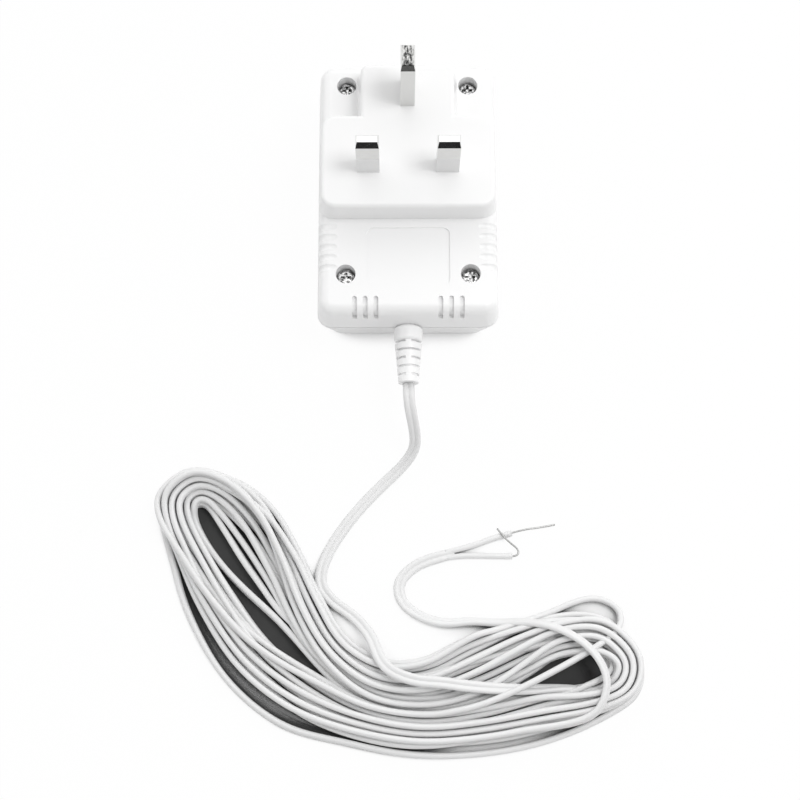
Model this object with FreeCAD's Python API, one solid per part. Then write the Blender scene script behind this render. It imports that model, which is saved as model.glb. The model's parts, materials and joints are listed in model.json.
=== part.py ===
import FreeCAD
import Part
import math
import os

from FreeCAD import Vector

# Plug-in doorbell transformer lying on its back, pins up, with its bell wire in a loose hank.
# Millimetres. X runs across the case, Y from the cord end to the earth pin, Z up from the resting face.

# Case
case_width = 52.0
case_length = 77.6
back_depth = 17.0
front_depth = 11.5
platform_height = 9.0
wall = 2.2
corner_radius = 4.2
front_draft = 4.5
back_draft = 11.0
face_edge_radius = 3.0
lip_height = 1.5
lip_thickness = 1.0
parting_gap = 0.4
parting_groove_depth = 0.6
fit_clearance = 0.1

# Raised plug platform and its neck round the earth pin
platform_low_y = -10.0
platform_high_y = 18.0
platform_corner_radius = 4.2
platform_edge_radius = 1.2
neck_width = 26.4
neck_top_y = 33.5
neck_draft = 8.0
neck_corner_radius = 2.0

# Plug pins of the thirteen amp pattern
pin_line_y = 2.3
pin_spacing = 22.23
earth_offset = 22.23
pin_width = 6.35
pin_thickness = 3.97
pin_length = 17.7
earth_width = 3.97
earth_depth = 7.95
earth_length = 22.73
pin_chamfer_x = 0.4
pin_chamfer_y = 1.1
pin_chamfer_length = 1.8
sleeve_length = 9.0
sleeve_wall = 0.5
pin_boss_wall = 1.6
pin_boss_drop = 2.0
lug_width = 4.0
lug_thickness = 1.0
lug_length = 3.5

# Case screws
screw_x = 17.6
screw_high_y = 31.3
screw_low_y = -26.5
well_diameter = 5.6
well_wall = 1.5
head_recess = 3.0
head_diameter = 5.0
head_height = 2.0
head_edge_radius = 0.9
seat_thickness = 2.0
screw_diameter = 2.5
screw_length = 14.0
screw_clearance = 0.35
post_diameter = 6.2
pilot_spare = 0.6
cross_length = 2.9
cross_width = 0.8
cross_depth = 1.1

# Label recess, vents and finger grips of the pin side
label_width = 23.6
label_low_y = -29.9
label_high_y = -12.7
label_depth = 0.35
label_corner_radius = 2.0
vent_count = 3
vent_first_x = 9.1
vent_pitch = 3.0
vent_width = 1.35
vent_depth = 1.0
vent_reach = 5.8
vent_drop = 4.7
grip_count = 5
grip_first_y = -12.3
grip_pitch = 3.05
grip_radius = 1.2
grip_depth = 0.42
grip_reach = 4.2
grip_drop = 7.4
grip_fade_radius = 3.0
grip_fade_rise = 0.75

# Transformer core, coil former and windings
core_side_clearance = 1.7
core_stack = 14.0
core_low_z = 8.5
core_window_low_y = -6.2
core_rib_width = 4.0
core_rib_length = 3.2
former_clearance = 0.15
former_wall = 1.0
former_reach = 6.2
former_mid_share = 0.44
winding_margin = 2.2
tape_thickness = 0.3
terminal_diameter = 0.9
terminal_x = 9.0
terminal_length = 4.5
terminal_rise = 1.9
rail_depth = 3.0
rail_height = 3.0
rail_spare = 1.5
fuse_diameter = 2.2
fuse_length = 7.0
fuse_lead_diameter = 0.6
fuse_lead_length = 3.0
lead_diameter = 1.6
core_wire_diameter = 1.6
core_wire_pitch = 1.7

# Strain relief and cord
relief_collar_diameter = 8.2
relief_collar_length = 4.4
relief_collar_radius = 1.0
relief_neck_diameter = 6.0
relief_flange_diameter = 8.4
relief_flange_length = 2.0
relief_ring_count = 5
relief_ring_length = 1.7
relief_ring_gap = 0.7
relief_root_diameter = 7.8
relief_tip_diameter = 5.8
relief_core_diameter = 5.1
relief_web_width = 1.6
cord_diameter = 2.5
tail_core_diameter = 1.7
tail_wire_diameter = 0.5
hank_height = 10.0
hank_edge_radius = 3.5

# Derived levels
parting_z = back_depth
lower_face_z = parting_z + front_depth
plug_face_z = lower_face_z + platform_height
half_width = case_width / 2
half_length = case_length / 2
lower_ceiling_z = lower_face_z - wall
platform_ceiling_z = plug_face_z - wall
pin_root_z = platform_ceiling_z - pin_boss_drop
screw_seat_z = lower_face_z - head_recess - head_height
post_top_z = screw_seat_z - seat_thickness
back_slope = math.tan(math.radians(back_draft))
core_room = half_width - wall - (parting_z - core_low_z) * back_slope
core_unit = (core_room - core_side_clearance) / 3
core_rib_x = 2.5 * core_unit
core_high_z = core_low_z + core_stack
core_mid_z = core_low_z + core_stack / 2
core_window_high_y = core_window_low_y + 3 * core_unit
relief_wall_y = -half_length - fit_clearance / 2
relief_collar_end_y = relief_wall_y - relief_collar_length
relief_rings_length = relief_ring_count * (relief_ring_length + relief_ring_gap)
relief_tip_y = relief_collar_end_y - relief_rings_length
relief_flange_rise = relief_flange_diameter / 2 * back_slope
relief_inner_y = -half_length + wall + relief_flange_rise + fit_clearance
relief_flange_end_y = relief_inner_y + relief_flange_length
cord_inner_y = relief_flange_end_y + fit_clearance
screw_places = [(sx * screw_x, y) for y in (screw_low_y, screw_high_y) for sx in (-1, 1)]
axis_x = Vector(1, 0, 0)
axis_y = Vector(0, 1, 0)
axis_z = Vector(0, 0, 1)

# The lead from the strain relief to the hank, lying on the table from its fifth point on
lead_route = [
    (0.0, relief_tip_y, parting_z),
    (0.0, relief_tip_y - 5.6, parting_z),
    (1.6, relief_tip_y - 11.4, 11.6),
    (2.2, relief_tip_y - 16.2, 5.6),
    (-1.6, relief_tip_y - 20.9, 2.2),
    (-7.4, -81.2, 1.25),
    (-14.6, -88.6, 1.25),
    (-20.8, -96.8, 1.25),
    (-24.8, -104.4, 1.25),
    (-25.6, -110.6, 1.25),
    (-21.4, -115.6, 1.25),
    (-15.4, -119.4, 1.4),
    (-10.6, -125.2, 2.2),
    (-8.4, -132.0, 3.4),
    (-6.4, -138.0, 4.4),
]

# The tail from the hank's upper edge to the place where the twin cores part
tail_route = [
    (30.0, -125.0, 2.6),
    (24.4, -121.4, 1.6),
    (17.4, -120.6, 1.25),
    (10.4, -121.6, 1.25),
    (3.4, -119.8, 1.25),
    (-2.2, -115.8, 1.25),
    (-3.4, -110.2, 1.25),
    (0.4, -105.6, 1.25),
    (6.4, -102.8, 1.25),
    (13.0, -101.4, 1.25),
]

# The two parted cores and the bare wires at their ends
upper_core_route = [(12.83, -100.56, 1.25), (17.72, -99.52, 1.25), (23.6, -97.2, 0.85), (29.3, -95.6, 0.85)]
lower_core_route = [(13.19, -102.24, 1.25), (18.08, -101.2, 1.25), (23.8, -102.2, 0.85), (29.4, -102.3, 0.85)]
upper_wire_route = [(29.31, -95.6, 0.85), (33.16, -94.52, 0.85), (37.6, -94.0, 0.5), (42.0, -93.1, 0.3)]
lower_wire_route = [(29.41, -102.3, 0.85), (31.2, -102.33, 0.85), (31.4, -100.3, 0.85), (29.0, -98.6, 1.6),
                    (26.8, -96.6, 2.4), (25.4, -94.4, 1.3)]

# Outline of the hank on the table, a banana-shaped loop of turns pressed together
hank_outline = [
    (-71.5, -86.0), (-64.0, -77.0), (-50.0, -80.0), (-37.5, -95.0), (-29.5, -113.0), (-20.0, -127.0),
    (-4.0, -134.0), (14.0, -130.5), (34.0, -122.5), (52.0, -120.5), (64.0, -132.0), (57.0, -146.6),
    (28.0, -155.5), (4.0, -158.2), (-18.0, -156.6), (-37.0, -149.6), (-50.0, -138.0), (-59.5, -121.5),
    (-67.0, -102.0),
]


def box(x0, x1, y0, y1, z0, z1):
    return Part.makeBox(x1 - x0, y1 - y0, z1 - z0, Vector(x0, y0, z0))


def centred_box(x, y, width, depth, z0, z1):
    return box(x - width / 2, x + width / 2, y - depth / 2, y + depth / 2, z0, z1)


def upright(x, y, diameter, z0, z1):
    return Part.makeCylinder(diameter / 2, z1 - z0, Vector(x, y, z0), axis_z)


def along_y(x, z, diameter, y0, y1):
    return Part.makeCylinder(diameter / 2, y1 - y0, Vector(x, y0, z), axis_y)


def fuse_all(shapes):
    first = shapes[0]
    return first.multiFuse(shapes[1:]).removeSplitter() if len(shapes) > 1 else first


def cut_all(shape, tools):
    return shape.cut(Part.makeCompound(tools))


def tapered_block(x0, x1, y0, y1, z0, z1, inset_x, inset_y):
    # A block whose top is smaller than its foot by the insets on each side
    block = Part.makeWedge(x0, z0, -y1, -y1 + inset_y, x0 + inset_x, x1, z1, -y0, -y0 - inset_y, x1 - inset_x)
    block.rotate(Vector(0, 0, 0), axis_x, 90)
    return block


def round_uprights(shape, radius, wanted=lambda edge: True):
    edges = [e for e in shape.Edges if abs(e.Vertexes[0].Z - e.Vertexes[-1].Z) > 1 and wanted(e)]
    return shape.makeFillet(radius, edges)


def round_level(shape, radius, z):
    edges = [e for e in shape.Edges if all(abs(v.Z - z) < 1e-6 for v in e.Vertexes)]
    return shape.makeFillet(radius, edges)


def front_block(inset, top_z):
    # The drafted front half up to a level, drawn in from the outer skin by the inset
    rise = top_z - parting_z
    x = half_width - inset
    y = half_length - inset
    lean = rise * math.tan(math.radians(front_draft))
    block = tapered_block(-x, x, -y, y, parting_z, top_z, lean, lean)
    return round_uprights(block, corner_radius - inset)


def front_base(inset):
    top_z = lower_face_z - inset
    return round_level(front_block(inset, top_z), face_edge_radius - inset, top_z)


def platform(inset):
    # The platform reaches down into the base, so that its sides run on from the case's sides
    top_z = plug_face_z - inset
    foot_z = lower_face_z - face_edge_radius - wall
    span = box(-case_width, case_width, platform_low_y + inset, platform_high_y - inset, foot_z, top_z)
    wide = round_uprights(front_block(inset, top_z).common(span), platform_corner_radius - inset / 2)
    lean = math.tan(math.radians(neck_draft)) * (top_z - foot_z)
    x = neck_width / 2 - inset + lean
    y = neck_top_y - inset + lean
    low_y = platform_low_y + platform_corner_radius + wall
    neck = tapered_block(-x, x, low_y, y, foot_z, top_z, lean, lean)
    neck = round_uprights(neck, neck_corner_radius, lambda e: e.CenterOfMass.y > platform_high_y)
    return fuse_all([wide, neck])


def vent_cutters():
    # Blind slots that follow the lower face and its rounded edge at one depth
    high_y = -half_length + vent_reach - vent_width / 2
    low_z = lower_face_z - vent_drop
    slots = []
    for side in (-1, 1):
        for i in range(vent_count):
            x = side * (vent_first_x + i * vent_pitch)
            slot = box(x - vent_width / 2, x + vent_width / 2, -case_length, high_y, low_z, plug_face_z)
            slots.append(slot.fuse(upright(x, high_y, vent_width, low_z, plug_face_z)))
    skin = front_base(0).cut(front_base(vent_depth))
    return skin.common(Part.makeCompound(slots))


def grip_cutters():
    # Round-bottomed grooves over the rounded edge of the lower face, running out softly at both ends
    draft = math.radians(front_draft)
    lift = grip_radius - grip_depth
    outward = Vector(math.cos(draft), 0, math.sin(draft))
    down = Vector(math.sin(draft), 0, -math.cos(draft))
    arc_z = lower_face_z - face_edge_radius
    arc_x = half_width - (arc_z - parting_z) * math.tan(draft) - face_edge_radius / math.cos(draft)
    arc_radius = face_edge_radius + lift
    fade = math.acos(1 - grip_fade_rise / grip_fade_radius)

    def run_out(foot, along, away, angle):
        turn = along * math.sin(angle) + away * (1 - math.cos(angle))
        return foot + turn * grip_fade_radius

    tools = []
    for i in range(grip_count):
        y = grip_first_y - i * grip_pitch
        centre = Vector(arc_x, y, arc_z)
        top = centre + axis_z * arc_radius
        bend = centre + (axis_z + outward).normalize() * arc_radius
        side = centre + outward * arc_radius
        level = Vector(half_width - grip_reach, y, top.z)
        low = side + down * (grip_drop - face_edge_radius)
        first = run_out(level, -axis_x, axis_z, fade)
        last = run_out(low, down, outward, fade)
        path = Part.Wire([Part.Arc(first, run_out(level, -axis_x, axis_z, fade / 2), level).toShape(),
                          Part.LineSegment(level, top).toShape(),
                          Part.Arc(top, bend, side).toShape(),
                          Part.LineSegment(side, low).toShape(),
                          Part.Arc(low, run_out(low, down, outward, fade / 2), last).toShape()])
        heading = Vector(math.cos(fade), 0, -math.sin(fade))
        section = Part.Wire([Part.Circle(first, heading, grip_radius).toShape()])
        groove = path.makePipeShell([section], True, False)
        tools += [groove, groove.mirror(Vector(0, 0, 0), axis_x)]
    return tools


def label_cutter():
    panel = box(-label_width / 2, label_width / 2, label_low_y, label_high_y,
                lower_face_z - label_depth, plug_face_z)
    return round_uprights(panel, label_corner_radius)


def pin_places():
    return {"live": -pin_spacing / 2, "neutral": pin_spacing / 2}


def core_ribs(z0, z1):
    low_y = core_window_low_y - core_unit
    high_y = core_window_high_y + core_unit
    ribs = []
    for x in (-core_rib_x, core_rib_x):
        for y in (low_y + core_rib_length / 2, high_y - core_rib_length / 2):
            ribs.append(centred_box(x, y, core_rib_width, core_rib_length, z0, z1))
    return ribs


def relief_seat():
    seat_diameter = relief_neck_diameter + 2 * fit_clearance
    return along_y(0, parting_z, seat_diameter, -case_length, relief_inner_y + wall)


def make_pin_side_case():
    outside = fuse_all([front_base(0), round_level(platform(0), platform_edge_radius, plug_face_z)])
    cavity = fuse_all([front_block(wall, lower_ceiling_z), platform(wall)])
    shell = outside.cut(cavity)
    bosses = [upright(x, y, well_diameter + 2 * well_wall, post_top_z, lower_ceiling_z + wall / 2)
              for x, y in screw_places]
    pin_bosses = [centred_box(x, pin_line_y, pin_width + 2 * pin_boss_wall, pin_thickness + 2 * pin_boss_wall,
                              pin_root_z, platform_ceiling_z + wall / 2) for x in pin_places().values()]
    earth_boss = centred_box(0, pin_line_y + earth_offset, earth_width + 2 * pin_boss_wall,
                             earth_depth + 2 * pin_boss_wall, pin_root_z, platform_ceiling_z + wall / 2)
    clamps = core_ribs(core_high_z, lower_ceiling_z + wall / 2)
    shell = fuse_all([shell, earth_boss] + bosses + pin_bosses + clamps)
    rebate = front_block(wall - lip_thickness - fit_clearance, parting_z + lip_height + fit_clearance)
    cuts = [rebate.cut(front_block(wall + fit_clearance, parting_z + lip_height + fit_clearance))]
    cuts += [upright(x, y, well_diameter, screw_seat_z, plug_face_z) for x, y in screw_places]
    cuts += [upright(x, y, screw_diameter + 2 * screw_clearance, parting_z, plug_face_z) for x, y in screw_places]
    cuts += [centred_box(x, pin_line_y, pin_width, pin_thickness, parting_z, plug_face_z + wall)
             for x in pin_places().values()]
    cuts.append(centred_box(0, pin_line_y + earth_offset, earth_width, earth_depth, parting_z, plug_face_z + wall))
    cuts += [label_cutter(), relief_seat(), vent_cutters()]
    seam = box(-case_width, case_width, -case_length, case_length, parting_z, parting_z + parting_gap)
    seam = seam.cut(front_block(parting_groove_depth, lower_face_z))
    return cut_all(cut_all(cut_all(shell, cuts), grip_cutters()), [seam])


def make_back_cover():
    def back_block(inset):
        flare = (parting_z - inset) * back_slope
        x = half_width - inset - flare
        y = half_length - inset - flare
        block = tapered_block(-x, x, -y, y, inset, parting_z, -flare, -flare)
        low_edges = [e for e in block.Edges if min(v.Z for v in e.Vertexes) < inset + 1e-6]
        return block.makeFillet(corner_radius - inset, low_edges)

    outside = back_block(0)
    lip = front_block(wall - lip_thickness, parting_z + lip_height)
    lip = lip.cut(front_block(wall, parting_z + lip_height))
    posts = [upright(x, y, post_diameter, 0, parting_z).common(back_block(wall / 2)) for x, y in screw_places]
    posts += [upright(x, y, post_diameter, parting_z, post_top_z) for x, y in screw_places]
    cradle = core_ribs(wall / 2, core_low_z)
    cover = fuse_all([outside.cut(back_block(wall)), lip] + posts + cradle)
    pilot_z = screw_seat_z - screw_length - pilot_spare
    pilots = [upright(x, y, screw_diameter, pilot_z, plug_face_z) for x, y in screw_places]
    return cut_all(cover, pilots + [relief_seat()])


def make_pin_blank(x, y, width, depth, z0, z1):
    blank = centred_box(x, y, width, depth, z0, z1 - pin_chamfer_length)
    tip = tapered_block(x - width / 2, x + width / 2, y - depth / 2, y + depth / 2,
                        z1 - pin_chamfer_length, z1, pin_chamfer_x, pin_chamfer_y)
    return blank.fuse(tip).removeSplitter()


def make_line_pin(x):
    shoulder_z = plug_face_z + sleeve_length
    head = make_pin_blank(x, pin_line_y, pin_width, pin_thickness, shoulder_z, plug_face_z + pin_length)
    stem = centred_box(x, pin_line_y, pin_width - 2 * sleeve_wall, pin_thickness - 2 * sleeve_wall,
                       pin_root_z, shoulder_z)
    lug = centred_box(x, pin_line_y, lug_width, lug_thickness, pin_root_z - lug_length, pin_root_z)
    return fuse_all([head, stem, lug])


def make_pin_sleeve(x):
    shoulder_z = plug_face_z + sleeve_length
    outside = centred_box(x, pin_line_y, pin_width, pin_thickness, pin_root_z, shoulder_z)
    bore = centred_box(x, pin_line_y, pin_width - 2 * sleeve_wall, pin_thickness - 2 * sleeve_wall,
                       pin_root_z, shoulder_z)
    return outside.cut(bore)


def make_earth_pin():
    return make_pin_blank(0, pin_line_y + earth_offset, earth_width, earth_depth,
                          pin_root_z, plug_face_z + earth_length)


def make_screw(x, y):
    head_top_z = screw_seat_z + head_height
    head = upright(x, y, head_diameter, screw_seat_z, head_top_z)
    head = round_level(head, head_edge_radius, head_top_z)
    shank = upright(x, y, screw_diameter, screw_seat_z - screw_length, screw_seat_z)
    cross = [centred_box(x, y, cross_length, cross_width, head_top_z - cross_depth, head_top_z),
             centred_box(x, y, cross_width, cross_length, head_top_z - cross_depth, head_top_z)]
    return cut_all(head.fuse(shank), cross)


def make_e_laminations():
    x = 3 * core_unit
    stack = box(-x, x, core_window_low_y, core_window_high_y + core_unit, core_low_z, core_high_z)
    windows = [box(min(s * core_unit, s * 2 * core_unit), max(s * core_unit, s * 2 * core_unit),
                   core_window_low_y, core_window_high_y, core_low_z, core_high_z) for s in (-1, 1)]
    return cut_all(stack, windows)


def make_i_laminations():
    x = 3 * core_unit
    return box(-x, x, core_window_low_y - core_unit, core_window_low_y, core_low_z, core_high_z)


def former_ring(y0, y1, inner_reach, outer_reach):
    # A rectangular ring round the core's middle leg, between two distances from the leg
    def block(reach):
        return box(-core_unit - reach, core_unit + reach, y0, y1, core_low_z - reach, core_high_z + reach)

    return block(outer_reach).cut(block(inner_reach))


def former_sections():
    low = core_window_low_y + former_clearance
    high = core_window_high_y - former_clearance
    mid = low + former_mid_share * (high - low)
    return low, mid, high


def make_coil_former():
    low, mid, high = former_sections()
    bore = former_clearance
    tube = former_ring(low, high, bore, bore + former_wall)
    flanges = [former_ring(y, y + former_wall, bore, former_reach)
               for y in (low, mid - former_wall / 2, high - former_wall)]
    rail_x = terminal_x + rail_spare
    rail_top_z = core_high_z + former_reach
    rail = box(-rail_x, rail_x, high - former_wall, high + rail_depth, rail_top_z - rail_height, rail_top_z)
    former = fuse_all([tube, rail] + flanges)
    return cut_all(former, terminal_pins())


def terminal_pins():
    low, mid, high = former_sections()
    rail_top_z = core_high_z + former_reach
    pins = []
    for x in (-terminal_x, terminal_x):
        pins.append(along_y(x, core_high_z + terminal_rise, terminal_diameter,
                            low - terminal_length, low + former_wall))
        pins.append(upright(x, high + rail_depth / 2, terminal_diameter,
                            rail_top_z - rail_height, rail_top_z + terminal_length - former_wall))
    return pins


def winding_limits():
    low, mid, high = former_sections()
    secondary = (low + former_wall, mid - former_wall / 2)
    primary = (mid + former_wall / 2, high - former_wall)
    return primary, secondary


def make_winding(limits):
    return former_ring(limits[0], limits[1], former_clearance + former_wall, former_reach - winding_margin)


def make_tape(limits):
    inner = former_reach - winding_margin
    return former_ring(limits[0], limits[1], inner, inner + tape_thickness)


def make_thermal_fuse():
    primary, secondary = winding_limits()
    y = (primary[0] + primary[1]) / 2
    z = core_high_z + former_reach - winding_margin + tape_thickness + fuse_diameter / 2
    can = Part.makeCylinder(fuse_diameter / 2, fuse_length, Vector(-fuse_length / 2, y, z), axis_x)
    reach = fuse_length + 2 * fuse_lead_length
    wire = Part.makeCylinder(fuse_lead_diameter / 2, reach, Vector(-reach / 2, y, z), axis_x)
    return can.fuse(wire)


def make_tube(name, route, diameter):
    # Straight runs joined by arcs that are as large as the runs on both sides allow
    points = [Vector(*p) for p in route]
    edges = []
    radii = []
    at = points[0]
    for before, here, after in zip(points, points[1:], points[2:]):
        into = (here - before).normalize()
        out = (after - here).normalize()
        turn = into.getAngle(out)
        reach = 0.45 * min((here - before).Length, (after - here).Length)
        radius = reach / math.tan(turn / 2)
        start = here - into * reach
        end = here + out * reach
        inward = (out - into).normalize()
        middle = here + inward * (radius / math.cos(turn / 2) - radius)
        edges.append(Part.LineSegment(at, start).toShape())
        edges.append(Part.Arc(start, middle, end).toShape())
        radii.append(radius)
        at = end
    edges.append(Part.LineSegment(at, points[-1]).toShape())
    path = Part.Wire(edges)
    section = Part.Wire([Part.Circle(points[0], points[1] - points[0], diameter / 2).toShape()])
    tube = path.makePipeShell([section], True, False)
    plain_volume = path.Length * math.pi * diameter ** 2 / 4
    print(name, "length", round(path.Length, 1), "radii", [round(r, 1) for r in radii],
          "volume ratio", round(tube.Volume / plain_volume, 4))
    return tube


def make_mains_lead(name, x):
    # From the pin's lug to the upright terminal at the far end of the coil former
    low, mid, high = former_sections()
    side = math.copysign(1, x)
    z = pin_root_z - lug_length / 2
    end_y = high + rail_depth / 2 - terminal_diameter / 2
    start_y = pin_line_y + lug_thickness / 2
    run = (end_y - start_y) / 3
    end_x = side * terminal_x
    route = [(x, start_y, z), (x, start_y + run, z), (end_x, end_y - run, z), (end_x, end_y, z)]
    return make_tube(name, route, lead_diameter)


def make_secondary_lead(name, side):
    low, mid, high = former_sections()
    end_y = low - terminal_length
    end_z = core_high_z + terminal_rise
    start_x = side * core_wire_pitch / 2
    end_x = side * terminal_x
    rise = end_z - parting_z
    span = end_y - cord_inner_y
    stations = [(0, 0, 0), (0.2, 0, 0), (0.4, 0.3, 0.26), (0.6, 0.7, 0.74), (0.8, 1, 1), (1, 1, 1)]
    route = [(start_x + across * (end_x - start_x), cord_inner_y + along * span, parting_z + up * rise)
             for along, across, up in stations]
    return make_tube(name, route, core_wire_diameter)


def make_strain_relief():
    # Half section turned about the cord's axis, distances from the axis against the run along the cord
    collar_r = relief_collar_diameter / 2
    neck_r = relief_neck_diameter / 2
    flange_r = relief_flange_diameter / 2
    core_r = relief_core_diameter / 2
    bore_r = cord_diameter / 2
    outline = [(bore_r, relief_flange_end_y), (flange_r, relief_flange_end_y), (flange_r, relief_inner_y),
               (neck_r, relief_inner_y), (neck_r, relief_wall_y), (collar_r, relief_wall_y),
               (collar_r, relief_collar_end_y), (core_r, relief_collar_end_y)]
    taper = (relief_tip_diameter - relief_root_diameter) / 2 / relief_rings_length
    y = relief_collar_end_y
    for i in range(relief_ring_count):
        ring_y = y - relief_ring_gap
        end_y = ring_y - relief_ring_length
        outline += [(core_r, ring_y),
                    (relief_root_diameter / 2 + taper * (relief_collar_end_y - ring_y), ring_y),
                    (relief_root_diameter / 2 + taper * (relief_collar_end_y - end_y), end_y)]
        if i < relief_ring_count - 1:
            outline.append((core_r, end_y))
        y = end_y
    outline.append((bore_r, relief_tip_y))
    points = [Vector(r, run, parting_z) for r, run in outline]
    profile = Part.Face(Part.makePolygon(points + points[:1]))
    body = profile.revolve(Vector(0, 0, parting_z), axis_y, 360)
    rims = [e for e in body.Edges if e.Closed and e.Curve.Radius > collar_r - 1e-6
            and min(abs(e.CenterOfMass.y - y) for y in (relief_wall_y, relief_collar_end_y)) < 1e-6]
    body = body.makeFillet(relief_collar_radius, rims)
    webs = []
    for i in range(relief_ring_count):
        gap_y = relief_collar_end_y - i * (relief_ring_length + relief_ring_gap)
        root_r = relief_root_diameter / 2 + taper * (relief_collar_end_y - gap_y + relief_ring_gap)
        ring = along_y(0, parting_z, 2 * root_r, gap_y - relief_ring_gap, gap_y)
        ring = ring.cut(along_y(0, parting_z, relief_core_diameter, gap_y - relief_ring_gap, gap_y))
        upright_web = i % 2 == 0
        x = relief_web_width / 2 if upright_web else root_r
        z = root_r if upright_web else relief_web_width / 2
        webs.append(ring.common(box(-x, x, gap_y - relief_ring_gap, gap_y, parting_z - z, parting_z + z)))
    return fuse_all([body] + webs)


def make_hank():
    curve = Part.BSplineCurve()
    curve.interpolate([Vector(x, y, 0) for x, y in hank_outline], PeriodicFlag=True)
    face = Part.Face(Part.Wire([curve.toShape()]))
    slab = face.extrude(Vector(0, 0, hank_height))
    rim = [e for e in slab.Edges if all(abs(v.Z - hank_height) < 1e-6 for v in e.Vertexes)]
    return slab.makeFillet(hank_edge_radius, rim)


def make_all():
    nodes = {"pin_side_case": make_pin_side_case(), "back_cover": make_back_cover()}
    for name, x in pin_places().items():
        nodes[name + "_pin"] = make_line_pin(x)
        nodes[name + "_pin_sleeve"] = make_pin_sleeve(x)
        nodes[name + "_lead"] = make_mains_lead(name + "_lead", x)
    nodes["earth_pin"] = make_earth_pin()
    nodes["case_screws"] = Part.makeCompound([make_screw(x, y) for x, y in screw_places])
    nodes["e_laminations"] = make_e_laminations()
    nodes["i_laminations"] = make_i_laminations()
    nodes["coil_former"] = make_coil_former()
    nodes["coil_terminals"] = Part.makeCompound(terminal_pins())
    primary, secondary = winding_limits()
    nodes["primary_winding"] = make_winding(primary)
    nodes["secondary_winding"] = make_winding(secondary)
    nodes["primary_tape"] = make_tape(primary)
    nodes["secondary_tape"] = make_tape(secondary)
    nodes["thermal_fuse"] = make_thermal_fuse()
    nodes["secondary_lead_left"] = make_secondary_lead("secondary_lead_left", -1)
    nodes["secondary_lead_right"] = make_secondary_lead("secondary_lead_right", 1)
    nodes["strain_relief"] = make_strain_relief()
    nodes["cord_inner_end"] = along_y(0, parting_z, cord_diameter, relief_tip_y, cord_inner_y)
    hank = make_hank()
    nodes["cord_hank"] = hank
    nodes["cord_lead"] = make_tube("cord_lead", lead_route, cord_diameter).cut(hank)
    nodes["cord_tail"] = make_tube("cord_tail", tail_route, cord_diameter).cut(hank)
    nodes["tail_core_upper"] = make_tube("tail_core_upper", upper_core_route, tail_core_diameter)
    nodes["tail_core_lower"] = make_tube("tail_core_lower", lower_core_route, tail_core_diameter)
    nodes["tail_wire_upper"] = make_tube("tail_wire_upper", upper_wire_route, tail_wire_diameter)
    nodes["tail_wire_lower"] = make_tube("tail_wire_lower", lower_wire_route, tail_wire_diameter)
    return nodes


os.makedirs("parts", exist_ok=True)
for node, shape in make_all().items():
    solids = Part.makeCompound(shape.Solids)
    print(node, "solids", len(shape.Solids), "valid", shape.isValid(), "volume", round(shape.Volume, 1))
    solids.exportStep("parts/" + node + ".step")
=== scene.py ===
import json
import math
import bmesh
import bpy
import numpy as np
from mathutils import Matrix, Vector


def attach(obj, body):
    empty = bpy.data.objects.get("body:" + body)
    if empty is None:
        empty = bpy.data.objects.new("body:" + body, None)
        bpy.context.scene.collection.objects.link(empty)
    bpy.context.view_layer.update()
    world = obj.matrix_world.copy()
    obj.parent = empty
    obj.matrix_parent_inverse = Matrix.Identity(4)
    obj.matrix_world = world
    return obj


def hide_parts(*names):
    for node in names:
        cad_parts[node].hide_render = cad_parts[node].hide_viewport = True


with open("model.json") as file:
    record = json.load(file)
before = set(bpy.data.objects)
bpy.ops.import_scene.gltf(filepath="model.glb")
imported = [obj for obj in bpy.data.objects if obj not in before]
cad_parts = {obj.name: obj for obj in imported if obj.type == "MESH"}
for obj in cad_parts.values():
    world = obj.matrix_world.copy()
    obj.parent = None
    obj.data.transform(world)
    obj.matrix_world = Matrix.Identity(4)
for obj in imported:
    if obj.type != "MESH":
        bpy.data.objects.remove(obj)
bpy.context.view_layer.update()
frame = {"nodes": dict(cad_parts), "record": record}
nodes = frame["nodes"]
scene = bpy.context.scene


class Wire:
    """A node's output that can be used in sums."""

    def __init__(self, finish, socket):
        self.finish = finish
        self.socket = socket

    def maths(self, operation, first, second):
        return self.finish.node("ShaderNodeMath", {"operation": operation}, {0: first, 1: second})

    def __add__(self, other):
        return self.maths("ADD", self, other)

    def __radd__(self, other):
        return self.maths("ADD", other, self)

    def __sub__(self, other):
        return self.maths("SUBTRACT", self, other)

    def __rsub__(self, other):
        return self.maths("SUBTRACT", other, self)

    def __mul__(self, other):
        return self.maths("MULTIPLY", self, other)

    def __rmul__(self, other):
        return self.maths("MULTIPLY", other, self)


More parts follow.
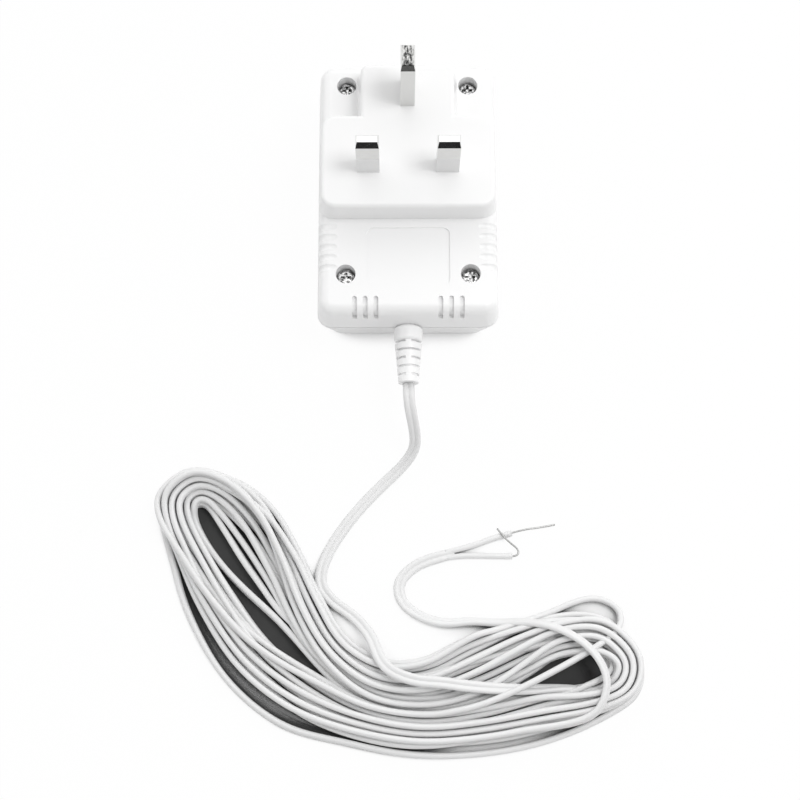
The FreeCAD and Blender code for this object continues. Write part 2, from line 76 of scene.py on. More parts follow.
class Finish:
    """A material or world under construction."""

    def __init__(self, holder):
        holder.use_nodes = True
        self.holder = holder
        self.tree = holder.node_tree
        self.tree.nodes.clear()

    def node(self, kind, settings=None, sockets=None, out=0):
        """Adds a node, sets it up, gives its sockets their values or links, and returns one of its outputs."""
        made = self.tree.nodes.new(kind)
        for key, value in (settings or {}).items():
            setattr(made, key, value)
        for key, value in (sockets or {}).items():
            if isinstance(value, Wire):
                self.tree.links.new(value.socket, made.inputs[key])
            else:
                made.inputs[key].default_value = value
        return Wire(self, made.outputs[out]) if made.outputs else None

    def place(self, stretch=(1, 1, 1), source="Object"):
        at = self.node("ShaderNodeTexCoord", out=source)
        return self.node("ShaderNodeMapping", None, {"Vector": at, "Scale": stretch})

    def noise(self, scale, detail=2.0, stretch=(1, 1, 1), source="Object"):
        return self.node("ShaderNodeTexNoise", None, {"Vector": self.place(stretch, source), "Scale": scale,
                                                      "Detail": detail})

    def axis(self, vector, name):
        return self.node("ShaderNodeSeparateXYZ", None, {0: vector}, out=name)

    def fade(self, value, start, end, low=0.0, high=1.0, curve="LINEAR"):
        """Goes from low to high while the value goes from start to end."""
        return self.node("ShaderNodeMapRange", {"clamp": True, "interpolation_type": curve},
                         {"Value": value, "From Min": start, "From Max": end, "To Min": low, "To Max": high})

    def between(self, amount, low, high):
        return self.node("ShaderNodeMix", {"data_type": "RGBA"}, {0: amount, 6: (*low, 1), 7: (*high, 1)}, out=2)

    def bump(self, height, strength, distance=0.0001):
        return self.node("ShaderNodeBump", None, {"Height": height, "Strength": strength, "Distance": distance})

    def close(self, surface, kind="ShaderNodeOutputMaterial"):
        self.node(kind, None, {"Surface": surface})
        return self.holder


class Workings(Finish):
    """A tree of geometry nodes under construction, with named inputs."""

    def __init__(self, name, inputs, output):
        self.tree = bpy.data.node_groups.new(name, "GeometryNodeTree")
        for key, kind in inputs.items():
            self.tree.interface.new_socket(key, in_out="INPUT", socket_type=kind)
        self.tree.interface.new_socket(output, in_out="OUTPUT", socket_type="NodeSocketGeometry")
        self.given = self.tree.nodes.new("NodeGroupInput")

    def input(self, name):
        return Wire(self, self.given.outputs[name])

    def result(self, points, values):
        """The plain mesh that the tree makes from a line of points."""
        mesh = bpy.data.meshes.new(self.tree.name)
        mesh.from_pydata(points.tolist(), [(i, i + 1) for i in range(len(points) - 1)], [])
        holder = bpy.data.objects.new(self.tree.name, mesh)
        scene.collection.objects.link(holder)
        modifier = holder.modifiers.new(self.tree.name, "NODES")
        modifier.node_group = self.tree
        for item in self.tree.interface.items_tree:
            if item.in_out == "INPUT" and item.name in values:
                modifier[item.identifier] = values[item.name]
        made = bpy.data.meshes.new_from_object(holder.evaluated_get(bpy.context.evaluated_depsgraph_get()))
        bpy.data.objects.remove(holder)
        bpy.data.meshes.remove(mesh)
        return made


def surface(name, build, **constant):
    """A principled surface whose varying sockets come from the build function."""
    finish = Finish(bpy.data.materials.new(name))
    return finish.close(finish.node("ShaderNodeBsdfPrincipled", None, {**constant, **build(finish)}))


# Camera of the photograph: looking down at the pins, 75 degrees above the table
camera = bpy.data.cameras.new("photo_camera")
camera.sensor_fit = "HORIZONTAL"
camera.sensor_width = 36.0
camera.lens = 67.5
camera.clip_start = 0.01
camera_object = bpy.data.objects.new("photo_camera", camera)
camera_object.location = (-0.00281, -0.16851, 0.42723)
camera_object.rotation_euler = (math.radians(14.79), 0.0, math.radians(-0.199))
scene.collection.objects.link(camera_object)
scene.camera = camera_object
scene.view_settings.view_transform = "Standard"


# Finishes of the case, the pins, the pieces inside and the cord
def moulded_white(f):
    cloud = f.noise(22.0, 3.0)
    grain = f.noise(2600.0, 2.0)
    return {
        "Base Color": f.between(cloud, (0.865, 0.865, 0.867), (0.892, 0.892, 0.890)),
        "Roughness": 0.26 + cloud * 0.06 + grain * 0.06,
        "Normal": f.bump(grain, 0.10),
    }


def nickel_plate(f):
    draw = f.noise(900.0, 3.0, (1.0, 1.0, 0.05))
    blotch = f.noise(420.0, 4.0)
    return {
        "Base Color": f.between(blotch, (0.68, 0.68, 0.67), (0.76, 0.76, 0.75)),
        "Roughness": 0.05 + draw * 0.07 + blotch * 0.03,
        "Normal": f.bump(draw, 0.05),
    }


def earth_nickel(f):
    draw = f.noise(900.0, 3.0, (1.0, 1.0, 0.05))
    spots = f.fade(f.noise(1900.0, 4.0, (1.0, 0.45, 1.0)), 0.38, 0.56)
    tip = f.fade(f.axis(f.place(), "Z"), 0.0599, 0.0601)
    across = f.node("ShaderNodeMath", {"operation": "ABSOLUTE"}, {0: f.axis(f.place(), "X")})
    middle = f.fade(across, 0.0014, 0.0008, low=0.55)
    return {
        "Base Color": f.between(tip * spots * middle, (0.71, 0.71, 0.70), (0.05, 0.05, 0.05)),
        "Roughness": 0.05 + draw * 0.07 + tip * 0.22,
        "Normal": f.bump(draw * (1 - tip) + spots * tip, 0.12),
    }


def pin_sleeve_grey(f):
    cloud = f.noise(160.0, 2.0)
    return {
        "Base Color": f.between(cloud, (0.77, 0.77, 0.77), (0.81, 0.81, 0.81)),
        "Roughness": 0.34 + cloud * 0.10,
        "Normal": f.bump(f.noise(3000.0), 0.05),
    }


def zinc_screw(f):
    blotch = f.fade(f.noise(1100.0, 3.0), 0.40, 0.60)
    return {
        "Base Color": f.between(blotch, (0.07, 0.07, 0.07), (0.90, 0.90, 0.90)),
        "Roughness": 0.14 + blotch * 0.14,
        "Normal": f.bump(blotch, 0.20),
    }


def varnished_sheets(f):
    layers = f.node("ShaderNodeTexWave", {"wave_type": "BANDS", "bands_direction": "Z"},
                    {"Vector": f.place(), "Scale": 320.0, "Distortion": 0.4})
    cloud = f.noise(120.0, 3.0)
    return {
        "Base Color": f.between(layers, (0.07, 0.07, 0.08), (0.20, 0.20, 0.21)),
        "Roughness": 0.38 + cloud * 0.2,
        "Normal": f.bump(layers, 0.4, 0.0002),
    }


def former_nylon(f):
    cloud = f.noise(90.0, 2.0)
    return {
        "Base Color": f.between(cloud, (0.80, 0.77, 0.68), (0.86, 0.84, 0.77)),
        "Roughness": 0.42 + cloud * 0.12,
        "Normal": f.bump(f.noise(2200.0), 0.08),
    }


def enamelled_copper(f):
    turns = f.node("ShaderNodeTexWave", {"wave_type": "BANDS", "bands_direction": "Y"},
                   {"Vector": f.place(), "Scale": 700.0, "Distortion": 0.6})
    cloud = f.noise(200.0, 3.0)
    return {
        "Base Color": f.between(cloud, (0.50, 0.20, 0.09), (0.72, 0.36, 0.18)),
        "Roughness": 0.24 + cloud * 0.14,
        "Normal": f.bump(turns, 0.5, 0.0002),
    }


def polyester_tape(f):
    cloud = f.noise(140.0, 3.0)
    return {
        "Base Color": f.between(cloud, (0.78, 0.60, 0.08), (0.86, 0.70, 0.14)),
        "Roughness": 0.16 + cloud * 0.12,
        "Normal": f.bump(f.noise(500.0), 0.10, 0.0002),
    }


def tinned_wire(f):
    blotch = f.noise(1400.0, 3.0)
    return {
        "Base Color": f.between(blotch, (0.30, 0.30, 0.30), (0.56, 0.56, 0.55)),
        "Roughness": 0.28 + blotch * 0.2,
        "Normal": f.bump(blotch, 0.2),
    }


def lead_vinyl(f):
    cloud = f.noise(300.0, 2.0)
    return {
        "Base Color": f.between(cloud, (0.84, 0.84, 0.82), (0.90, 0.90, 0.88)),
        "Roughness": 0.36 + cloud * 0.10,
        "Normal": f.bump(f.noise(1800.0), 0.06),
    }


def cord_vinyl(f):
    run = f.noise(1.0, 1.0, (45.0, 0.0, 0.0), "UV")
    return {
        "Base Color": f.between(run, (0.75, 0.75, 0.75), (0.79, 0.79, 0.79)),
        "Roughness": 0.36 + run * 0.12,
    }


def relief_vinyl(f):
    cloud = f.noise(120.0, 2.0)
    return {
        "Base Color": f.between(cloud, (0.88, 0.88, 0.88), (0.91, 0.91, 0.91)),
        "Roughness": 0.34 + cloud * 0.10,
        "Normal": f.bump(f.noise(2200.0), 0.08),
    }


finishes = {
    "case_plastic": surface("moulded_white", moulded_white),
    "pin_metal": surface("nickel_plate", nickel_plate, Metallic=1.0),
    "sleeve_plastic": surface("pin_sleeve_grey", pin_sleeve_grey),
    "screw_steel": surface("zinc_screw", zinc_screw, Metallic=1.0),
    "core_steel": surface("varnished_sheets", varnished_sheets, Metallic=0.6),
    "former_plastic": surface("former_nylon", former_nylon),
    "winding_copper": surface("enamelled_copper", enamelled_copper, Metallic=0.8),
    "coil_tape": surface("polyester_tape", polyester_tape),
    "fuse_can": surface("fuse_can_tin", tinned_wire, Metallic=1.0),
    "tinned_metal": surface("tinned_wire", tinned_wire, Metallic=1.0),
    "mains_insulation": surface("mains_lead_vinyl", lead_vinyl),
    "cord_insulation": surface("cord_vinyl", cord_vinyl),
    "relief_rubber": surface("relief_vinyl", relief_vinyl),
}
for part in frame["record"]["subparts"]:
    for material_slot in nodes[part["node"]].material_slots:
        material_slot.material = finishes[part["material_slot"]]
for material_slot in nodes["earth_pin"].material_slots:
    material_slot.material = surface("earth_nickel", earth_nickel, Metallic=1.0)


# The bell wire's routes, in metres: lead from the strain relief onto the hank, and tail to the parted cores
lead_route = [
    (0.0, -0.05525, 0.017), (0.0, -0.06085, 0.017), (0.0016, -0.06665, 0.0116), (0.0022, -0.07145, 0.0056),
    (-0.0016, -0.07615, 0.0022), (-0.0074, -0.0812, 0.00125), (-0.0146, -0.0886, 0.0011), (-0.0208, -0.0968, 0.0011),
    (-0.0248, -0.1044, 0.0011), (-0.0256, -0.1106, 0.0012), (-0.0214, -0.1156, 0.0013), (-0.0154, -0.1194, 0.0018),
    (-0.0106, -0.1252, 0.0036), (-0.0084, -0.1320, 0.0072),
]
lead_over_hank = [
    (-0.0050, -0.1356, 0.0094), (0.0014, -0.1380, 0.0102), (0.0085, -0.1384, 0.0100), (0.0153, -0.1394, 0.0092),
    (0.0222, -0.1400, 0.0080), (0.0290, -0.1404, 0.0068), (0.0360, -0.1404, 0.0056), (0.0425, -0.1400, 0.0050),
]
tail_over_hank = [
    (0.0400, -0.1500, 0.0082), (0.0470, -0.1488, 0.0088), (0.0520, -0.1462, 0.0094), (0.0543, -0.1404, 0.0098),
    (0.0541, -0.1363, 0.0098), (0.0523, -0.1321, 0.0098), (0.0488, -0.1279, 0.0098), (0.0435, -0.1245, 0.0090),
    (0.0380, -0.1222, 0.0070), (0.0310, -0.1212, 0.0040),
]
tail_route = [
    (0.0244, -0.1214, 0.0017), (0.0174, -0.1206, 0.0011), (0.0104, -0.1216, 0.0011), (0.0034, -0.1198, 0.0011),
    (-0.0022, -0.1158, 0.0011), (-0.0034, -0.1102, 0.0011), (0.0004, -0.1056, 0.0011), (0.0064, -0.1028, 0.0011),
    (0.0130, -0.1014, 0.0011),
]

# The hank, in millimetres: its outer and inner edge at places round one turn, along the lower leg, round the
# right end, back along the upper leg and round the left end
turn_edges = [
    ((3, -154.8), (4, -146)), ((22, -154), (20, -143.5)), ((40, -150.6), (36, -139.4)), ((54, -146), (46, -139.4)),
    ((63, -140), (52.8, -138.3)), ((63.2, -130), (56.2, -134.4)), ((54, -120.5), (52, -131)),
    ((42, -119.3), (42, -131.5)), ((29, -121.8), (33, -136.5)), ((16, -126.5), (20, -142.5)),
    ((4, -132.5), (4, -145)), ((-8, -132.5), (-12, -142.5)), ((-18.5, -125.5), (-25, -133.5)),
    ((-25.5, -112.5), (-34.6, -122.2)), ((-31, -101), (-42, -109)), ((-38.5, -89), (-49, -98)),
    ((-49, -81), (-55.6, -89.4)), ((-61.4, -78), (-59, -86.2)), ((-69.5, -83.7), (-62.3, -87.6)),
    ((-70.1, -91), (-61.8, -92.6)), ((-65.8, -102), (-55.2, -103.4)), ((-59.4, -116.4), (-47, -114.5)),
    ((-48.2, -133), (-38, -124.5)), ((-33, -145.2), (-26, -134)), ((-15.6, -151.4), (-12, -143)),
]
# Where each turn lies: share of the way from the inner to the outer edge on the lower leg, at the right end,
# on the upper leg and at the left end, and its layer from the table up; the last row is where the tail leaves
turn_lies = [
    (0.06, 0.25, 0.12, 0.38, 1.0), (0.27, 0.32, 0.04, 0.09, 0.0), (0.04, 0.27, 0.27, 0.20, 0.0),
    (0.50, 0.46, 0.50, 0.29, 0.0), (0.96, 0.70, 0.96, 0.97, 0.0), (1.36, 0.97, 0.73, 0.32, 0.0),
    (0.73, 0.84, 0.96, 0.66, 1.0), (0.96, 0.55, 0.50, 0.46, 1.0), (0.50, 0.30, 0.73, 0.58, 1.0),
    (0.27, 0.25, 0.27, 0.82, 1.0), (0.04, 0.60, 0.06, 0.98, 2.0), (0.05, 1.00, 0.92, 0.70, 2.0),
    (0.50, 0.74, 0.36, 0.84, 2.0), (0.73, 0.90, 0.62, 0.94, 2.0), (0.92, 0.90, 0.90, 0.90, 2.0),
]
# Turns that leave the others on a leg: from which place to which, and by how much of the hank's width
turn_bulges = {1: (19, 24.5, -0.36), 2: (11.5, 17.2, -0.30), 4: (18, 25, 0.12)}
# The loop that strays from its turn at the right end, and the places of the turn that it takes up
stray_turn, stray_from, stray_to = 11, 0.5, 8.5
stray_loop = [
    (11, -146.2, 8.2), (19, -144.6, 8.8), (27.5, -141.4, 9.2), (36.5, -137, 9.4), (45.5, -132.3, 9),
    (52.7, -128, 8), (56.9, -125.2, 6.2), (59.4, -121.8, 4), (59.2, -118.2, 2.2), (55.8, -115.6, 1.4),
    (51, -115, 1.3), (45.6, -116.8, 1.6), (39.6, -119.8, 2.8), (33, -122.2, 4.2), (25, -124.6, 5.2),
]
# Places where the legs and ends begin, where the lead joins the first turn, and where the tail leaves the last
leg_marks = (0, 5, 10, 18, len(turn_edges))
lead_joins, tail_leaves, place_step = 3.25, 26.6, 0.25
lowest_layer, layer_height = 1.65, 2.9
# Size and rate of the slow waves that make the turns uneven
share_waves = ((0.035, 0.53), (0.02, 0.97))
height_wave, height_rate = 0.25, 0.41

# How the strands settle, in metres: the room that each takes, how much taller than wide it stands, and its middle's
# height on the table; then the rounds, how often and how far neighbours are looked for, how many points along the
# cord they are apart, and the shares or steps by which strands are pushed, sink, return and even out
strand_room, strand_stance, table_rest = 0.0023, 1.35, 0.0011
settle_rounds, search_every, search_reach, points_apart = 260, 6, 1.6, 7
push_share, sink_step, return_share, even_share = 0.32, 0.00002, 0.985, 0.22

# The flat twin's section and its least height over the table, in metres
twin_lobe, twin_pitch, twin_groove, table_gap = 0.00086, 0.00079, 0.00044, 0.00002
# How the twin rolls, as the cosine and sine of twice its angle: the reach, weight and least points apart of a
# neighbour that turns it, the waves by which it leans, its lie in the tail and when flat, and over how many
# points this and then the angle are evened out
roll_reach, roll_weight, roll_apart = 0.0036, 0.5, 12
lean_waves = ((0.3, 57.0, 1.0), (0.2, 131.0, 2.0))
tail_lie, flat_lie = (0.6, 1.0), (-2.0, 0.0)
lie_evened, angle_evened = 13, 9


def through(values, at):
    """The smooth closed line through the values, at a place counted in values."""
    values = np.asarray(values, float)
    whole = math.floor(at)
    share = at - whole
    a, b, c, d = (values[(whole + step) % len(values)] for step in (-1, 0, 1, 2))
    return b + 0.5 * share * (c - a + share * (2 * a - 5 * b + 4 * c - d + share * (3 * (b - c) + d - a)))


def hank_turns():
    """Points of the loose turns, in metres, before they settle on each other."""
    sway = np.random.default_rng(11).uniform(0, 2 * math.pi, 3)
    stations = len(turn_edges)
    outer = [edge[0] for edge in turn_edges]
    inner = [edge[1] for edge in turn_edges]
    points = []
    for turn, lie in enumerate(turn_lies[:-1]):
        following = turn_lies[turn + 1]
        shares = [*lie[:4], following[0]]
        begin = lead_joins if turn == 0 else 0.0
        end = tail_leaves if turn == len(turn_lies) - 2 else stations
        first, last, bulge = turn_bulges.get(turn, (0, stations, 0.0))
        for at in np.arange(begin, end - 1e-6, place_step).tolist():
            if turn == stray_turn and stray_from <= at <= stray_to:
                if at == stray_from:
                    points += stray_loop
                continue
            leg = next((i for i in range(3) if at < leg_marks[i + 1]), 3)
            along_leg = min(1.0, (at - leg_marks[leg]) / (leg_marks[leg + 1] - leg_marks[leg]))
            blend = 0.5 - 0.5 * math.cos(math.pi * along_leg)
            share = shares[leg] * (1 - blend) + shares[leg + 1] * blend
            run = turn * stations + at
            share += sum(size * math.sin(run * rate + phase) for (size, rate), phase in zip(share_waves, sway))
            if first < at < last:
                share += bulge * math.sin(math.pi * (at - first) / (last - first)) ** 2
            layer = lie[4] + (following[4] - lie[4]) * min(1.0, at / stations) ** 3
            height = lowest_layer + layer_height * layer + height_wave * math.sin(run * height_rate + sway[2])
            flat = through(inner, at) * (1 - share) + through(outer, at) * share
            points.append((*flat, height))
    return np.array(points) * 0.001


def settled(points, held):
    """Pushes strands apart where they run into each other and lets them sink onto what is below."""
    start = points.copy()
    shift = np.zeros_like(points)
    squeeze = np.array((1.0, 1.0, 1.0 / strand_stance))
    for count in range(settle_rounds):
        now = (start + shift) * squeeze
        if count % search_every == 0:
            gaps = now[:, None, :] - now[None, :, :]
            near = np.einsum("ijk,ijk->ij", gaps, gaps) < (search_reach * strand_room) ** 2
            one, two = np.nonzero(np.triu(near, points_apart))
        gap = now[one] - now[two]
        distance = np.maximum(np.linalg.norm(gap, axis=1), 1e-6)
        push = gap * (push_share * np.maximum(0.0, strand_room - distance) / distance)[:, None]
        move = np.zeros_like(points)
        np.add.at(move, one, push)
        np.add.at(move, two, -push)
        move[:, 2] -= sink_step
        shift += move / squeeze
        shift[:, :2] *= return_share
        shift[1:-1] += even_share * (shift[:-2] + shift[2:] - 2 * shift[1:-1])
        shift[held] = 0.0
        shift[:, 2] = np.maximum(shift[:, 2], table_rest - start[:, 2])
    return start + shift


def smooth_line(name, points, steps):
    """Points along the smooth curve that has these control points."""
    curve = bpy.data.curves.new(name, "CURVE")
    curve.dimensions = "3D"
    curve.resolution_u = steps
    spline = curve.splines.new("NURBS")
    spline.points.add(len(points) - 1)
    for knot, place in zip(spline.points, points):
        knot.co = (*place, 1.0)
    spline.order_u = 3
    spline.use_endpoint_u = True
    holder = bpy.data.objects.new(name, curve)
    scene.collection.objects.link(holder)
    mesh = bpy.data.meshes.new_from_object(holder)
    line = np.array([v.co[:] for v in mesh.vertices])
    line = line[np.concatenate(([True], np.linalg.norm(np.diff(line, axis=0), axis=1) > 1e-5))]
    bpy.data.meshes.remove(mesh)
    bpy.data.objects.remove(holder)
    bpy.data.curves.remove(curve)
    return line


def run_along(line):
    """Length along the line up to each of its points."""
    return np.concatenate(([0.0], np.cumsum(np.linalg.norm(np.diff(line, axis=0), axis=1))))


def directions(line):
    """The level and the upward direction across the line."""
    along = np.gradient(line, axis=0)
    along /= np.linalg.norm(along, axis=1)[:, None]
    level = np.cross(along, (0.0, 0.0, 1.0))
    level /= np.maximum(np.linalg.norm(level, axis=1), 1e-9)[:, None]
    return level, np.cross(level, along)


def tube(name, line, wide, tall, section, scale, finish):
    """A closed mesh tube along the line, with its section's axes given at each point."""
    count = len(section)
    rings = len(line)
    section = np.asarray(section)
    spread = section[None, :, 0, None] * wide[:, None, :] + section[None, :, 1, None] * tall[:, None, :]
    places = line[:, None, :] + spread * np.asarray(scale)[:, None, None]
    faces = []
    for ring in range(rings - 1):
        for side in range(count):
            other = (side + 1) % count
            faces.append((ring * count + side, ring * count + other, (ring + 1) * count + other,
                          (ring + 1) * count + side))
    faces.append(tuple(range(count - 1, -1, -1)))
    faces.append(tuple((rings - 1) * count + side for side in range(count)))
    mesh = bpy.data.meshes.new(name)
    mesh.from_pydata(places.reshape(-1, 3).tolist(), [], faces)
    run = run_along(line)
    chart = mesh.uv_layers.new(name="UVMap")
    for face in mesh.polygons:
        for corner in face.loop_indices:
            ring, side = divmod(mesh.loops[corner].vertex_index, count)
            last_column = face.index < (rings - 1) * count and face.index % count == count - 1
            if last_column and side == 0:
                side = count
            chart.data[corner].uv = (run[ring], side / count)
    work = bmesh.new()
    work.from_mesh(mesh)
    bmesh.ops.recalc_face_normals(work, faces=work.faces)
    work.to_mesh(mesh)
    work.free()
    mesh.polygons.foreach_set("use_smooth", [len(face.vertices) == 4 for face in mesh.polygons])
    mesh.materials.append(finish)
    piece = bpy.data.objects.new(name, mesh)
    scene.collection.objects.link(piece)
    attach(piece, "root")
    return piece


def averaged(values, reach):
    """Each value evened out with its neighbours within reach."""
    weights = np.hanning(2 * reach + 3)[1:-1]
    weights /= weights.sum()
    padded = np.concatenate((np.repeat(values[:1], reach), values, np.repeat(values[-1:], reach)))
    return np.convolve(padded, weights, "valid")


def twin_roll(line, bundled, tilted):
    """How far the flat twin is rolled about its line: on edge between the turns, tilted in the tail, else flat."""
    level, up = directions(line)
    gaps = line[None, :, :] - line[:, None, :]
    distance = np.linalg.norm(gaps, axis=2)
    order = np.arange(len(line))
    apart = np.abs(np.subtract.outer(order, order)) > roll_apart
    weight = np.where(apart, np.maximum(0.0, 1 - distance / roll_reach) ** 2, 0.0)
    side = np.einsum("ijk,ik->ij", gaps, level)
    rise = np.einsum("ijk,ik->ij", gaps, up)
    angle = np.arctan2(rise, side)
    run = run_along(line)
    lean = sum(size * np.sin(run * rate + phase) for size, rate, phase in lean_waves)
    even = 1.0 + roll_weight * (weight * np.cos(2 * angle)).sum(axis=1)
    odd = lean + roll_weight * (weight * np.sin(2 * angle)).sum(axis=1)
    even = averaged(np.where(bundled, even, np.where(tilted, tail_lie[0], flat_lie[0])), lie_evened)
    odd = averaged(np.where(bundled, odd, np.where(tilted, tail_lie[1], flat_lie[1])), lie_evened)
    return averaged(0.5 * np.unwrap(np.arctan2(-odd, -even)), angle_evened)


lobe = [(twin_pitch + twin_lobe * math.cos(math.radians(a)), twin_lobe * math.sin(math.radians(a)))
        for a in range(-135, 136, 45)]
twin_section = [*lobe, (0.0, twin_groove), *[(-x, -y) for x, y in lobe], (0.0, -twin_groove)]

# The lead and the tail on the table are held; the turns and what lies on them settle
cord_route = np.concatenate((lead_route, lead_over_hank, hank_turns(), tail_over_hank, tail_route))
route_count = len(cord_route)
held = np.zeros(route_count, bool)
held[:len(lead_route)] = True
held[-len(tail_route):] = True
cord_line = smooth_line("cord_run", settled(cord_route, held), 3)
place_along = np.arange(len(cord_line)) * route_count / len(cord_line)
bundle_starts = len(lead_route) + 5
tail_starts, tail_flattens = route_count - len(tail_route) - 8, route_count - 4
cord_roll = twin_roll(cord_line, (place_along > bundle_starts) & (place_along < tail_starts),
                      (place_along >= tail_starts) & (place_along < tail_flattens))
level, up = directions(cord_line)
cord_wide = np.cos(cord_roll)[:, None] * level + np.sin(cord_roll)[:, None] * up
cord_tall = np.cos(cord_roll)[:, None] * up - np.sin(cord_roll)[:, None] * level
deepest = np.min([x * cord_wide[:, 2] + y * cord_tall[:, 2] for x, y in twin_section], axis=0)
cord_line[:, 2] = np.maximum(cord_line[:, 2], table_gap - deepest)
# The twin narrows at its last point, where the cores part
twin_scale = np.ones(len(cord_line))
twin_scale[-1] = 0.8
cord = tube("bell_wire", cord_line, cord_wide, cord_tall, twin_section, twin_scale, finishes["cord_insulation"])
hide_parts("cord_lead", "cord_hank", "cord_tail")

# The parted cores with their ringed ends, and the bare wires, in metres
core_routes = {
    "upper": [(0.01040, -0.10112, 0.0011), (0.01772, -0.09952, 0.0011), (0.0236, -0.0972, 0.00094),
              (0.0293, -0.0956, 0.00094)],
    "lower": [(0.01073, -0.10268, 0.0011), (0.0148, -0.1021, 0.0010), (0.0192, -0.1021, 0.00094),
              (0.0240, -0.1022, 0.00094), (0.0294, -0.1023, 0.00094)],
}
wire_routes = {
    "upper": [(0.0288, -0.09574, 0.00088), (0.03316, -0.09452, 0.00088), (0.0376, -0.094, 0.0005),
              (0.042, -0.0931, 0.0003)],
    "lower": [(0.0289, -0.1023, 0.00088), (0.0312, -0.10233, 0.00088), (0.0314, -0.1003, 0.00088),
              (0.029, -0.0986, 0.0016), (0.0268, -0.0966, 0.0024), (0.0254, -0.0944, 0.0013)],
}
core_radius, wire_radius, ringed_length = 0.00084, 0.00026, 0.0020
parted_share, parted_length = 0.88, 0.04
ring_inputs = {"Ring Radius": 0.00078, "Bead Radius": 0.00015, "Ring Pitch": 0.00065,
               "Finish": finishes["cord_insulation"]}


def core_rings():
    """Beaded rings at even steps along the stripped end of a core."""
    w = Workings("core_rings", {"Core Line": "NodeSocketGeometry", "Ring Radius": "NodeSocketFloat",
                                "Bead Radius": "NodeSocketFloat", "Ring Pitch": "NodeSocketFloat",
                                "Finish": "NodeSocketMaterial"}, "Rings")
    line = w.node("GeometryNodeMeshToCurve", None, {"Mesh": w.input("Core Line")})
    steps = w.node("GeometryNodeResampleCurve", {"mode": "LENGTH"}, {"Curve": line, "Length": w.input("Ring Pitch")})
    hoop = w.node("GeometryNodeCurvePrimitiveCircle", None, {"Resolution": 20, "Radius": w.input("Ring Radius")})
    bead = w.node("GeometryNodeCurvePrimitiveCircle", None, {"Resolution": 8, "Radius": w.input("Bead Radius")})
    ring = w.node("GeometryNodeCurveToMesh", None, {"Curve": hoop, "Profile Curve": bead})
    tangent = w.node("GeometryNodeInputTangent")
    facing = w.node("FunctionNodeAlignRotationToVector", {"axis": "Z"}, {"Vector": tangent})
    placed = w.node("GeometryNodeInstanceOnPoints", None, {"Points": steps, "Instance": ring, "Rotation": facing})
    solid = w.node("GeometryNodeRealizeInstances", None, {"Geometry": placed})
    dressed = w.node("GeometryNodeSetMaterial", None, {"Geometry": solid, "Material": w.input("Finish")})
    w.node("NodeGroupOutput", None, {"Rings": dressed})
    return w


def join(piece, extra):
    """Adds a mesh to a piece's own mesh, with all faces outwards."""
    work = bmesh.new()
    work.from_mesh(piece.data)
    work.from_mesh(extra)
    bmesh.ops.recalc_face_normals(work, faces=work.faces)
    work.to_mesh(piece.data)
    work.free()
    bpy.data.meshes.remove(extra)


ring_maker = core_rings()
round_section = [(math.cos(math.pi * i / 8), math.sin(math.pi * i / 8)) for i in range(16)]
for side in ("upper", "lower"):
    line = smooth_line("core_run", core_routes[side], 24)
    level, up = directions(line)
    run = run_along(line)
    parting = np.minimum(1.0, parted_share + run / parted_length)
    piece = tube("cord_core_" + side, line, level, up, round_section, core_radius * parting,
                 finishes["cord_insulation"])
    join(piece, ring_maker.result(line[run >= run[-1] - ringed_length], ring_inputs))
    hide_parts("tail_core_" + side)
    line = smooth_line("wire_run", wire_routes[side], 12)
    level, up = directions(line)
    piece = tube("cord_wire_" + side, line, level, up, round_section, np.full(len(line), wire_radius),
                 finishes["tinned_metal"])
    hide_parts("tail_wire_" + side)


# White table with painted shade: a dark grey in the hank's two eyes and in the nooks between the turns
def eye_shade_patch(f, centre, turn, half_length, half_width):
    """An oval patch of painted shade on the table, soft at its edge."""
    local = f.node("ShaderNodeMapping", {"vector_type": "TEXTURE"},
                   {"Vector": f.place(), "Location": centre, "Rotation": (0, 0, math.radians(turn)),
                    "Scale": (half_length, half_width, 1)})
    away = f.node("ShaderNodeVectorMath", {"operation": "LENGTH"}, {0: local}, out="Value")
    return f.fade(away, 1.2, 0.9)


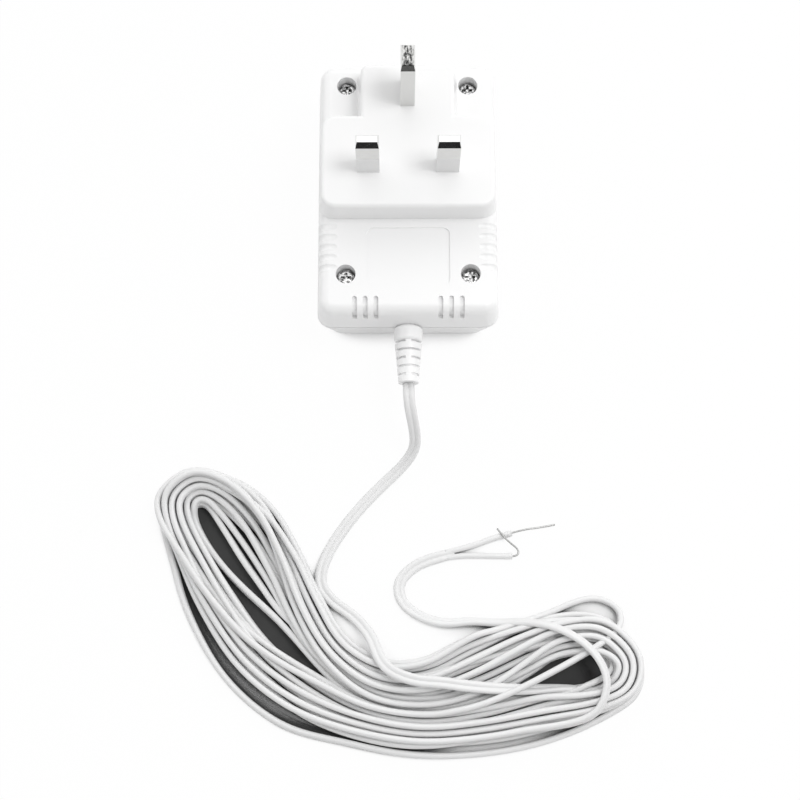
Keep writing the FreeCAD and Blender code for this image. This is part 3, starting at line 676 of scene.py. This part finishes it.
def table_surface(f):
    ray = f.node("ShaderNodeLightPath", out="Is Camera Ray")
    mirrored = f.node("ShaderNodeLightPath", out="Is Glossy Ray")
    at = f.place()
    away = f.node("ShaderNodeVectorMath", {"operation": "LENGTH"}, {0: at}, out="Value")
    dim = f.fade(away, 0.16, 0.26)
    nook = f.node("ShaderNodeAmbientOcclusion", {"samples": 16}, {"Distance": 0.014}, out="AO")
    clear = f.fade(nook, 0.30, 0.60, curve="SMOOTHSTEP")
    across = f.axis(at, "Y")
    outer_side = f.fade(f.axis(at, "X") + across * 0.9, -0.130, -0.150)
    # Painted shade: the table turns a dark grey where the AO node finds it hemmed in by turns on the hank's outer
    # side, and in the deepest nooks on the hank's side of the table
    tight_nook_shade = f.fade(nook, 0.60, 0.44, curve="SMOOTHSTEP")
    # Painted shade: dark ovals on the table under the hank's two eyes
    left_eye_shade = eye_shade_patch(f, (-0.0458, -0.1083, 0), 124, 0.0300, 0.0085)
    right_eye_shade = eye_shade_patch(f, (0.0465, -0.1345, 0), 6, 0.014, 0.0055)
    deep_nook_shade = f.fade(nook, 0.26, 0.16)
    hank_side = f.fade(across, -0.068, -0.075)
    light = (1 - tight_nook_shade * outer_side) * (1 - deep_nook_shade * hank_side) * (1 - left_eye_shade) * (1 - right_eye_shade)
    matt = f.node("ShaderNodeBsdfDiffuse", None, {"Color": (0.88, 0.88, 0.88, 1)})
    # The dark grey that the painted shade shows
    painted_shade_grey = f.node("ShaderNodeBsdfDiffuse", None, {"Color": (0.07, 0.07, 0.07, 1)})
    white = f.node("ShaderNodeEmission", None, {"Color": (1, 1, 1, 1), "Strength": 1.0})
    room = f.node("ShaderNodeEmission", None, {"Color": (0.02, 0.02, 0.02, 1), "Strength": 1.0})
    floor = f.node("ShaderNodeMixShader", None, {0: light, 1: painted_shade_grey, 2: matt})
    seen = f.node("ShaderNodeMixShader", None, {0: ray * clear * light * 0.96, 1: floor, 2: white})
    return f.node("ShaderNodeMixShader", None, {0: mirrored * dim, 1: seen, 2: room})


table_finish = Finish(bpy.data.materials.new("white_table"))
table_material = table_finish.close(table_surface(table_finish))
table_material.cycles.emission_sampling = "NONE"
table_mesh = bpy.data.meshes.new("table")
table_mesh.from_pydata([(-4, -4, 0), (4, -4, 0), (4, 4, 0), (-4, 4, 0)], [], [(0, 1, 2, 3)])
table_mesh.materials.append(table_material)
table = bpy.data.objects.new("table", table_mesh)
scene.collection.objects.link(table)

# Studio: a soft sky, brightest towards the far side and overhead in mirrors, and one soft box on the right
world = bpy.data.worlds.new("studio")
scene.world = world
sky = Finish(world)
heading = sky.node("ShaderNodeTexCoord", out="Generated")
height = sky.axis(heading, "Z")
depth = sky.axis(heading, "Y")
rising = sky.fade(height, -0.05, 0.40, 0.15, 1.0, "SMOOTHSTEP")
closing = sky.fade(height, 0.60, 0.95, 1.0, 0.14, "SMOOTHSTEP")
glow = rising * closing * (1.30 + depth * 0.55)
overhead = sky.fade(height * 0.97 + depth * 0.24, 0.950, 0.980, 0.0, 1.40, "SMOOTHSTEP")
mirrored_sky = sky.node("ShaderNodeLightPath", out="Is Glossy Ray")
seen_sky = sky.node("ShaderNodeLightPath", out="Is Camera Ray")
soft = sky.node("ShaderNodeBackground", None, {"Color": (1, 1, 1, 1), "Strength": glow + overhead * mirrored_sky})
plain = sky.node("ShaderNodeBackground", None, {"Color": (1, 1, 1, 1), "Strength": 1.0})
sky.close(sky.node("ShaderNodeMixShader", None, {0: seen_sky, 1: soft, 2: plain}), "ShaderNodeOutputWorld")

lamp = bpy.data.lights.new("right_soft_box", "AREA")
lamp.energy = 1.48
lamp.size = 0.22
lamp_object = bpy.data.objects.new("right_soft_box", lamp)
lamp_object.location = (0.25, -0.02, 0.63)
lamp_aim = Vector((0.0, -0.05, 0.02)) - lamp_object.location
lamp_object.rotation_euler = lamp_aim.to_track_quat("-Z", "Y").to_euler()
scene.collection.objects.link(lamp_object)
